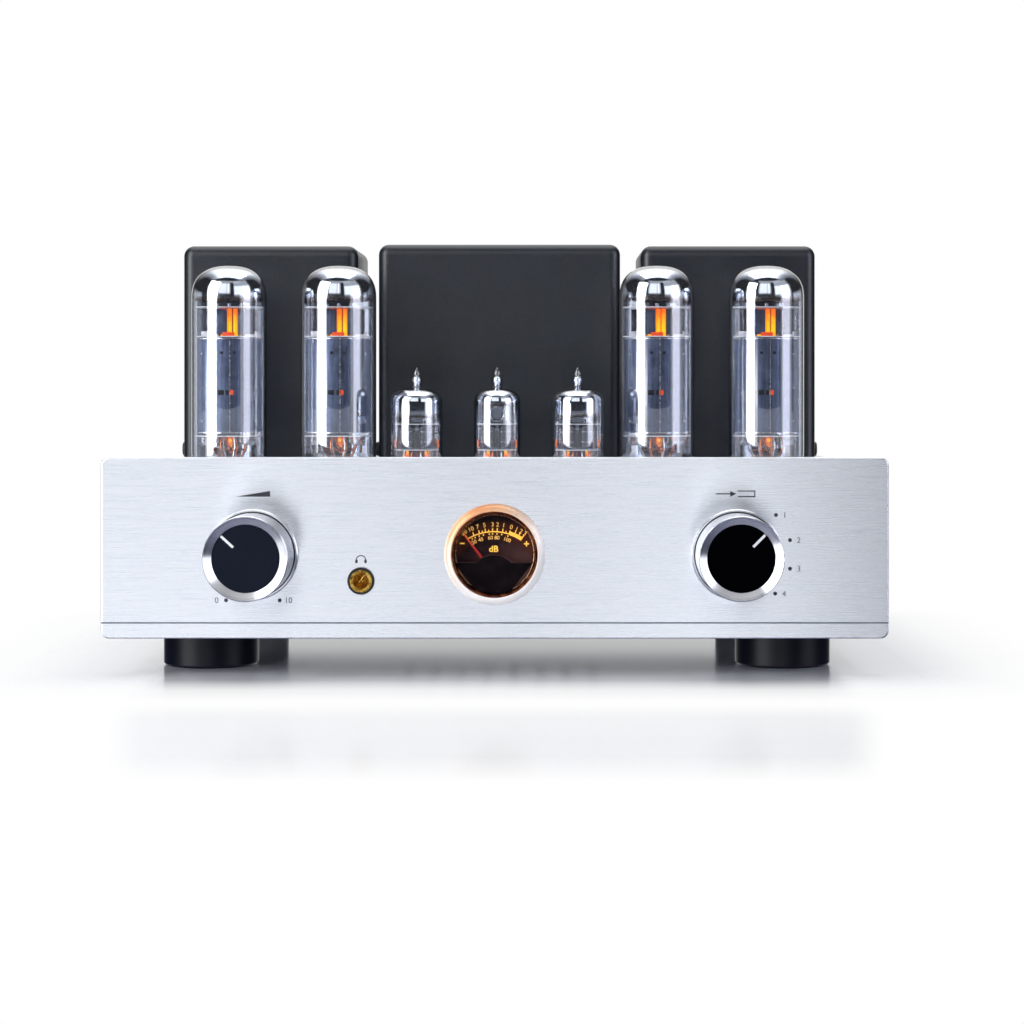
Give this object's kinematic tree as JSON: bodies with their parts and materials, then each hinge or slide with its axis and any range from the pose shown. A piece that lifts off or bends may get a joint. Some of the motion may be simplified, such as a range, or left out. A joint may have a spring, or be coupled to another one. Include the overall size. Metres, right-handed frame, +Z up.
{
  "type": "tube integrated amplifier",
  "caption": "Vacuum tube integrated amplifier: brushed faceplate with volume and selector knobs, round level meter and headphone jack; glass tubes on the deck ahead of transformer covers.",
  "frame": {"origin": "centre of the footprint, on the surface that the amplifier stands on", "axes": "+X to the right as seen from the front, +Y to the rear, +Z up"},
  "size_m": [0.32, 0.261, 0.1809],
  "materials": {
    "face_aluminium": "horizontally brushed, clear anodised",
    "turned_aluminium": "turned, satin",
    "chassis_paint": "fine silver-grey powder coat",
    "cover_paint": "fine textured charcoal powder coat",
    "black_anodised": "satin black anodised",
    "plated_steel": "zinc plated",
    "black_steel": "blackened",
    "core_steel": "varnished laminations",
    "coil_copper": "enamelled winding, taped",
    "socket_ceramic": "unglazed white ceramic",
    "board_green": "solder-masked board",
    "capacitor_sleeve": "shrink sleeve",
    "control_metal": "plated",
    "copper_bezel": "polished copper colour",
    "window_glass": "clear",
    "dial_black": "black-brown dial, amber scale",
    "needle_red": "red",
    "black_plastic": "moulded",
    "red_plastic": "moulded",
    "gold_plate": "gold plated",
    "tube_glass": "clear blown glass with a mirror patch at the top",
    "base_black": "moulded phenolic",
    "electrode_metal": "dark grey coated nickel"
  },
  "bodies": {
    "root": {"faceplate": "face_aluminium", "chassis_deck": "chassis_paint", "chassis_walls": "chassis_paint", "rear_panel": "chassis_paint", "bottom_cover": "chassis_paint", "cover_brackets": "chassis_paint", "chassis_fasteners": "plated_steel", "feet": "black_anodised", "power_cover": "cover_paint", "output_covers": "cover_paint", "cover_screws": "black_steel", "transformer_cores": "core_steel", "transformer_coils": "coil_copper", "socket_rings": "socket_ceramic", "socket_cores": "socket_ceramic", "tube_board": "board_green", "board_capacitors": "capacitor_sleeve", "knob_rings": "turned_aluminium", "panel_controls": "control_metal", "meter_bezel": "copper_bezel", "meter_glass": "window_glass", "meter_dial": "dial_black", "meter_housing": "black_plastic", "jack_washer": "black_plastic", "mains_inlet": "black_plastic", "power_switch": "black_plastic", "headphone_jack": "gold_plate", "input_sockets": "gold_plate", "terminal_posts": "gold_plate"},
    "volume": {"volume_knob": "turned_aluminium", "volume_insert": "black_anodised", "volume_shaft": "control_metal"},
    "selector": {"selector_knob": "turned_aluminium", "selector_insert": "black_anodised", "selector_shaft": "control_metal"},
    "needle": {"meter_needle": "needle_red"},
    "rocker": {"power_rocker": "black_plastic"},
    "fuse": {"fuse_drawer": "black_plastic"},
    "right_minus": {"right_minus_cap": "black_plastic"},
    "right_plus": {"right_plus_cap": "red_plastic"},
    "left_minus": {"left_minus_cap": "black_plastic"},
    "left_plus": {"left_plus_cap": "red_plastic"},
    "power_tube_1": {"power_tube_1_glass": "tube_glass", "power_tube_1_base": "base_black", "power_tube_1_electrodes": "electrode_metal"},
    "power_tube_2": {"power_tube_2_glass": "tube_glass", "power_tube_2_base": "base_black", "power_tube_2_electrodes": "electrode_metal"},
    "power_tube_3": {"power_tube_3_glass": "tube_glass", "power_tube_3_base": "base_black", "power_tube_3_electrodes": "electrode_metal"},
    "power_tube_4": {"power_tube_4_glass": "tube_glass", "power_tube_4_base": "base_black", "power_tube_4_electrodes": "electrode_metal"},
    "small_tube_1": {"small_tube_1_glass": "tube_glass", "small_tube_1_electrodes": "electrode_metal"},
    "small_tube_2": {"small_tube_2_glass": "tube_glass", "small_tube_2_electrodes": "electrode_metal"},
    "small_tube_3": {"small_tube_3_glass": "tube_glass", "small_tube_3_electrodes": "electrode_metal"}
  },
  "joints": [
    {"name": "volume_turn", "type": "hinge", "parent": "root", "child": "volume", "pos_m": [-0.0982, -0.10355, 0.0494], "axis": [0, 1, 0], "range_deg": [-104, 196]},
    {"name": "selector_turn", "type": "hinge", "parent": "root", "child": "selector", "pos_m": [0.0982, -0.10355, 0.0494], "axis": [0, 1, 0], "range_deg": [0, 90]},
    {"name": "needle_swing", "type": "hinge", "parent": "root", "child": "needle", "pos_m": [0, -0.09955, 0.0407], "axis": [0, 1, 0], "range_deg": [0, 78], "stiffness_Nm_per_rad": 0.00005},
    {"name": "rocker_tip", "type": "hinge", "parent": "root", "child": "rocker", "pos_m": [-0.1546, -0.07955, 0.0494], "axis": [0, 1, 0], "range_deg": [0, 20]},
    {"name": "fuse_slide", "type": "slide", "parent": "root", "child": "fuse", "axis": [0, 1, 0], "range_m": [0, 0.018]},
    {"name": "right_minus_unscrew", "type": "hinge", "parent": "root", "child": "right_minus", "pos_m": [-0.05003, 0.10755, 0.05], "axis": [0, 1, 0], "range_deg": [0, 720]},
    {"name": "right_plus_unscrew", "type": "hinge", "parent": "root", "child": "right_plus", "pos_m": [-0.03097, 0.10755, 0.05], "axis": [0, 1, 0], "range_deg": [0, 720]},
    {"name": "left_minus_unscrew", "type": "hinge", "parent": "root", "child": "left_minus", "pos_m": [0.00498, 0.10755, 0.05], "axis": [0, 1, 0], "range_deg": [0, 720]},
    {"name": "left_plus_unscrew", "type": "hinge", "parent": "root", "child": "left_plus", "pos_m": [0.02403, 0.10755, 0.05], "axis": [0, 1, 0], "range_deg": [0, 720]},
    {"name": "power_tube_1_lift", "type": "slide", "parent": "root", "child": "power_tube_1", "axis": [0, 0, 1], "range_m": [0, 0.05]},
    {"name": "power_tube_2_lift", "type": "slide", "parent": "root", "child": "power_tube_2", "axis": [0, 0, 1], "range_m": [0, 0.05]},
    {"name": "power_tube_3_lift", "type": "slide", "parent": "root", "child": "power_tube_3", "axis": [0, 0, 1], "range_m": [0, 0.05]},
    {"name": "power_tube_4_lift", "type": "slide", "parent": "root", "child": "power_tube_4", "axis": [0, 0, 1], "range_m": [0, 0.05]},
    {"name": "small_tube_1_lift", "type": "slide", "parent": "root", "child": "small_tube_1", "axis": [0, 0, 1], "range_m": [0, 0.03]},
    {"name": "small_tube_2_lift", "type": "slide", "parent": "root", "child": "small_tube_2", "axis": [0, 0, 1], "range_m": [0, 0.03]},
    {"name": "small_tube_3_lift", "type": "slide", "parent": "root", "child": "small_tube_3", "axis": [0, 0, 1], "range_m": [0, 0.03]}
  ]
}
